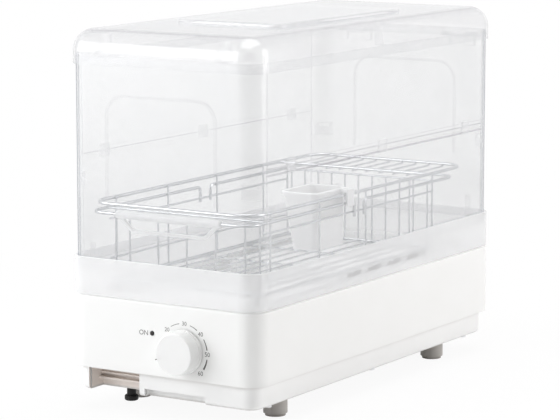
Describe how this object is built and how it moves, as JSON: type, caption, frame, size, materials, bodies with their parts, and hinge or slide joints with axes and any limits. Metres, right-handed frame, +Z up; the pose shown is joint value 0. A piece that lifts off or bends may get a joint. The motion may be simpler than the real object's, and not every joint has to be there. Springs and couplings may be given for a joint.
{
  "type": "dish dryer",
  "caption": "Table-top dish dryer: white base with a timer and warm-air blower, wire dish rack and cutlery holder under a see-through lift-off hood with a hinged lid.",
  "frame": {"origin": "on the table under the middle of the overall box, which runs from the knob's face to the rear hinge", "axes": "+Z up, -Y towards the front with the timer knob, +X to the right seen from the front"},
  "size_m": [0.24, 0.5468, 0.4105],
  "materials": {
    "white_plastic": "satin white moulding",
    "knob_plastic": "smooth white, softly glossy",
    "frosted_plastic": "frosted, see-through",
    "clear_plastic": "clear and glossy",
    "clip_plastic": "satin white",
    "grey_plastic": "satin light grey",
    "dark_plastic": "matte black",
    "pipe_plastic": "smooth",
    "lamp_plastic": "clear red lens",
    "rubber": "matte black",
    "rack_wire": "bright drawn wire",
    "steel": "plain sheet and bar",
    "mesh": "moulded grid"
  },
  "bodies": {
    "base": {"base_shell": "white_plastic", "bottom_pan": "white_plastic", "feet": "white_plastic", "foot_pads": "rubber", "base_screws": "steel", "drip_basin": "white_plastic", "air_outlet": "grey_plastic", "drain_pipe": "pipe_plastic", "timer_body": "dark_plastic", "timer_nut": "steel", "lamp_lens": "lamp_plastic", "lamp_holder": "grey_plastic", "fan_housing": "grey_plastic", "motor_bracket": "steel", "motor_body": "steel", "heater_duct": "steel", "heater_rod": "steel", "thermostat": "dark_plastic", "thermal_fuse": "steel", "cord_gland": "rubber", "terminal_block": "dark_plastic"},
    "knob": {"timer_knob": "knob_plastic", "timer_shaft": "steel"},
    "fan": {"fan_wheel": "grey_plastic", "motor_shaft": "steel"},
    "plug": {"drain_plug": "rubber"},
    "filter": {"filter_frame": "grey_plastic", "filter_mesh": "mesh"},
    "hood": {"lower_ring": "frosted_plastic", "hood_front_wall": "frosted_plastic", "hood_rear_wall": "frosted_plastic", "near_upper_panel": "frosted_plastic", "near_lower_panel": "frosted_plastic", "near_hinge_clips": "clip_plastic", "far_upper_panel": "frosted_plastic", "far_lower_panel": "frosted_plastic", "far_hinge_clips": "clip_plastic", "corner_latches": "clip_plastic", "ring_pegs": "frosted_plastic", "lid_hinge_pins": "steel"},
    "lid": {"lid": "clear_plastic"},
    "rack": {"rack_rim": "rack_wire", "rack_floor": "rack_wire", "rack_near_side": "rack_wire", "rack_far_side": "rack_wire", "rack_front_end": "rack_wire", "rack_rear_end": "rack_wire", "rack_front_handle": "rack_wire", "rack_rear_handle": "rack_wire", "front_grip": "white_plastic", "rack_shelf": "rack_wire"},
    "holder": {"cutlery_holder": "white_plastic"}
  },
  "joints": [
    {"name": "timer_turn", "type": "hinge", "parent": "base", "child": "knob", "pos_m": [0.0296, -0.2542, 0.0772], "axis": [0, 1, 0], "range_deg": [0, 270]},
    {"name": "fan_spin", "type": "hinge", "parent": "base", "child": "fan", "pos_m": [0, 0.1758, 0.047], "axis": [0, 0, 1], "continuous": true},
    {"name": "plug_pull", "type": "slide", "parent": "base", "child": "plug", "axis": [0, 0, -1], "range_m": [0, 0.005]},
    {"name": "filter_slide", "type": "slide", "parent": "base", "child": "filter", "axis": [0, 1, 0], "range_m": [0, 0.12]},
    {"name": "hood_lift", "type": "slide", "parent": "base", "child": "hood", "axis": [0, 0, 1], "range_m": [0, 0.3]},
    {"name": "lid_hinge", "type": "hinge", "parent": "hood", "child": "lid", "pos_m": [0, 0.2698, 0.3705], "axis": [-1, 0, 0], "range_deg": [0, 100]},
    {"name": "rack_lift", "type": "slide", "parent": "base", "child": "rack", "axis": [0, 0, 1], "range_m": [0, 0.1]},
    {"name": "holder_lift", "type": "slide", "parent": "rack", "child": "holder", "axis": [0, 0, 1], "range_m": [0, 0.05]}
  ]
}
